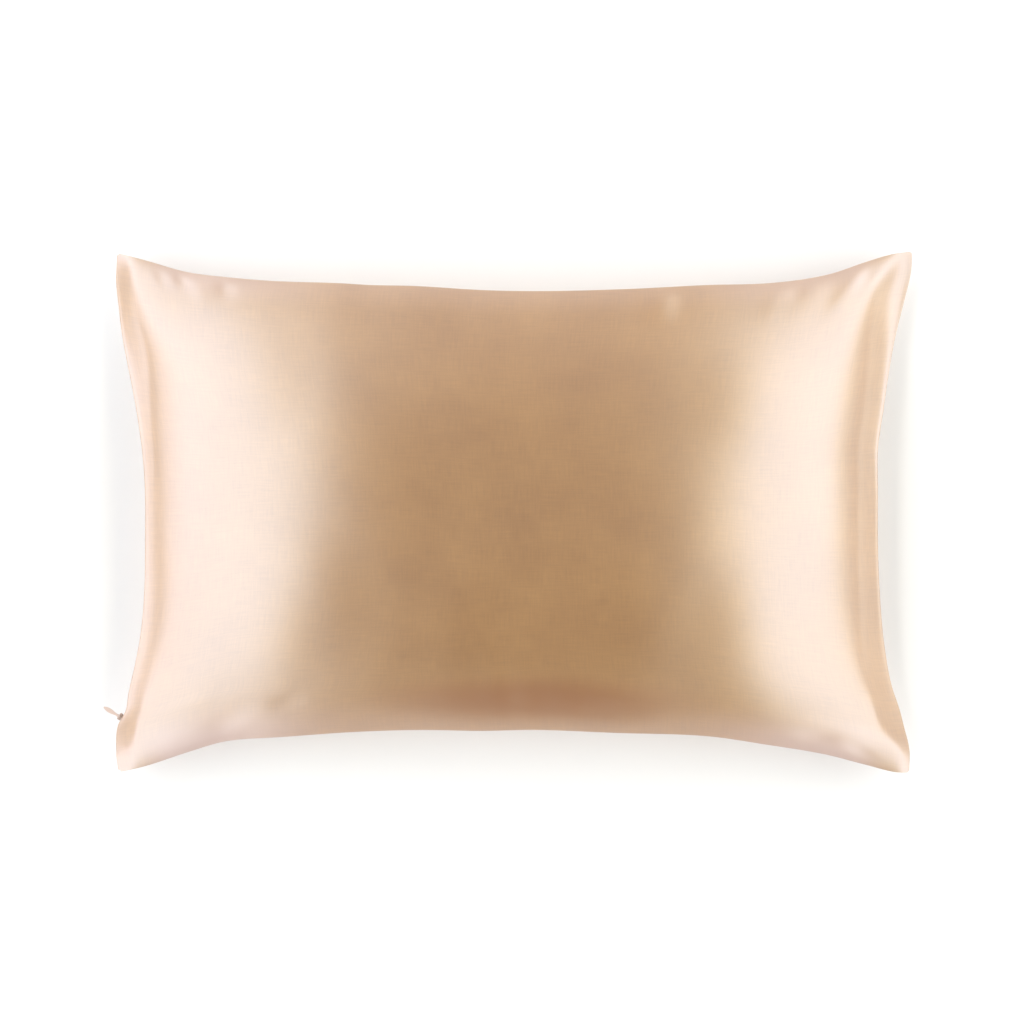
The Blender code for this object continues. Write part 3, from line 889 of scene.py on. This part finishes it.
def set_camera(scene, studio):
    """A camera straight above, looking down, whose width of view is set at the seam's height."""
    camera = bpy.data.cameras.new("camera above")
    camera.sensor_width = SENSOR_WIDTH
    to_seam = studio.camera_height - scene.pillowcase_shape.seam_height
    camera.lens = SENSOR_WIDTH * to_seam / studio.view_width
    holder = bpy.data.objects.new("camera above", camera)
    holder.location = (studio.camera_shift, 0.0, studio.camera_height)
    scene.collection.objects.link(holder)
    scene.camera = holder


class PILLOWCASE_OT_sew_case(bpy.types.Operator):
    """Sew the two satin panels together, fill them and lay the case on its back"""

    bl_idname = "pillowcase.sew_case"
    bl_label = "Sew the Filled Case"
    bl_options = {"REGISTER", "UNDO"}

    def execute(self, context):
        scene = context.scene
        mesh = sewn_case(scene.pillowcase_shape)
        mesh.materials.append(silk_charmeuse(scene.pillowcase_satin))
        case = bpy.data.objects.new("filled_case_satin", mesh)
        scene.collection.objects.link(case)
        smooth = case.modifiers.new("soft cloth", "SUBSURF")
        smooth.levels = smooth.render_levels = 1
        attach(case, "root")
        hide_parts("filled_case")
        return {"FINISHED"}


class PILLOWCASE_OT_fit_zip(bpy.types.Operator):
    """Give the zip's slider and pull their enamel"""

    bl_idname = "pillowcase.fit_zip"
    bl_label = "Fit the Zip's Slider and Pull"
    bl_options = {"REGISTER", "UNDO"}

    def execute(self, context):
        look = context.scene.pillowcase_zip
        for node, colour in (("zip_slider", look.slider), ("zip_pull", look.pull)):
            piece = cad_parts[node]
            piece.data.materials.clear()
            piece.data.materials.append(enamelled_zinc(f"{node} enamel", colour))
        return {"FINISHED"}


class PILLOWCASE_OT_set_stage(bpy.types.Operator):
    """Lay the pale floor, hang the lights and set the camera straight above"""

    bl_idname = "pillowcase.set_stage"
    bl_label = "Set the Stage"
    bl_options = {"REGISTER", "UNDO"}

    def execute(self, context):
        scene = context.scene
        studio = scene.pillowcase_studio
        lay_floor(studio)
        build_surround(scene, studio)
        for light in LIGHTS:
            hang_light(scene, light)
        fill_air(scene, studio)
        set_camera(scene, studio)
        scene.view_settings.view_transform = "Standard"
        return {"FINISHED"}


GROUPS = {
    "pillowcase_shape": CaseShape,
    "pillowcase_satin": SatinLook,
    "pillowcase_zip": ZipLook,
    "pillowcase_studio": StudioSetup,
}
STEPS = (PILLOWCASE_OT_sew_case, PILLOWCASE_OT_fit_zip, PILLOWCASE_OT_set_stage)


class PILLOWCASE_PT_panel(bpy.types.Panel):
    """The pillowcase's steps and sizes"""

    bl_idname = "PILLOWCASE_PT_panel"
    bl_label = "Pillowcase"
    bl_space_type = "VIEW_3D"
    bl_region_type = "UI"
    bl_category = "Pillowcase"

    def draw(self, context):
        column = self.layout.column()
        for step in STEPS:
            column.operator(step.bl_idname)
        for name in GROUPS:
            group = getattr(context.scene, name)
            box = self.layout.box()
            for setting in group.__annotations__:
                box.prop(group, setting)


def register():
    for cls in (*GROUPS.values(), *STEPS, PILLOWCASE_PT_panel):
        bpy.utils.register_class(cls)
    for name, group in GROUPS.items():
        setattr(bpy.types.Scene, name, PointerProperty(type=group))


def unregister():
    for name in GROUPS:
        delattr(bpy.types.Scene, name)
    for cls in (PILLOWCASE_PT_panel, *reversed(STEPS), *reversed(GROUPS.values())):
        bpy.utils.unregister_class(cls)


def main():
    register()
    bpy.ops.pillowcase.sew_case()
    bpy.ops.pillowcase.fit_zip()
    bpy.ops.pillowcase.set_stage()


if __name__ == "__main__":
    main()
